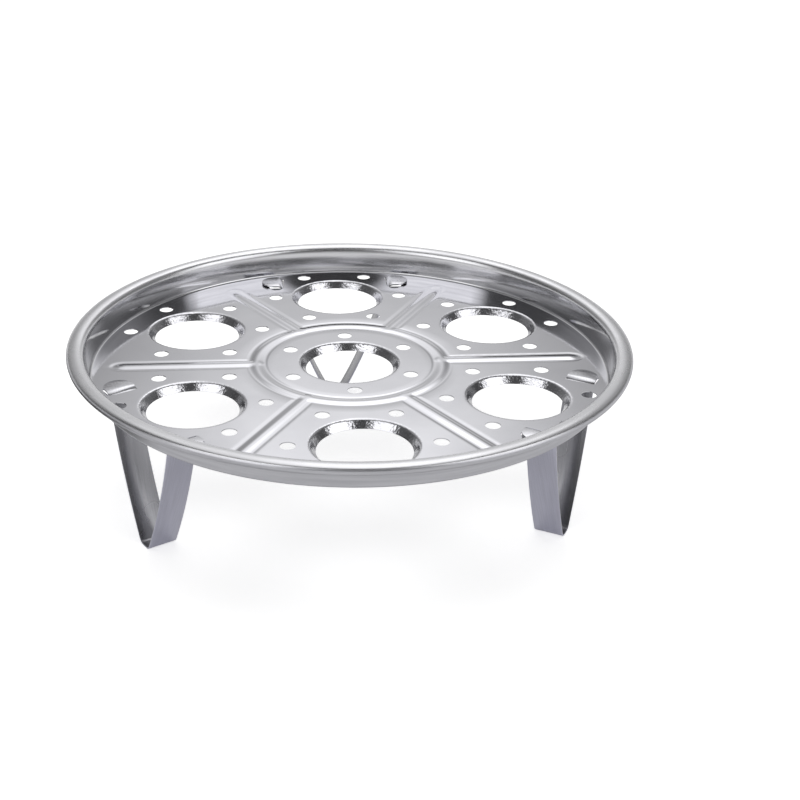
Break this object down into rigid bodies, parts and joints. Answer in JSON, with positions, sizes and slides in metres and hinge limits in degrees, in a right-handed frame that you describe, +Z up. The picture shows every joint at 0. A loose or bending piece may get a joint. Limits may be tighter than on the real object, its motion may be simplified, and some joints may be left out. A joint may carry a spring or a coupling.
{
  "type": "egg steamer rack",
  "caption": "Round sheet-steel egg steamer rack: a shallow tray with a rolled rim, lipped egg holes, steam holes and embossed ribs, standing on bent strip legs.",
  "frame": {"origin": "on the table plane, under the middle of the tray", "axes": "+Z up out of the tray's open side, +Y towards the leg at the back, -Y towards the viewer of the picture"},
  "size_m": [0.178, 0.178, 0.053],
  "materials": {
    "tray_steel": "bright polished stainless sheet",
    "leg_steel": "smooth rolled stainless strip"
  },
  "bodies": {
    "root": {"tray": "tray_steel", "leg_back": "leg_steel", "leg_left": "leg_steel", "leg_right": "leg_steel"}
  },
  "joints": []
}
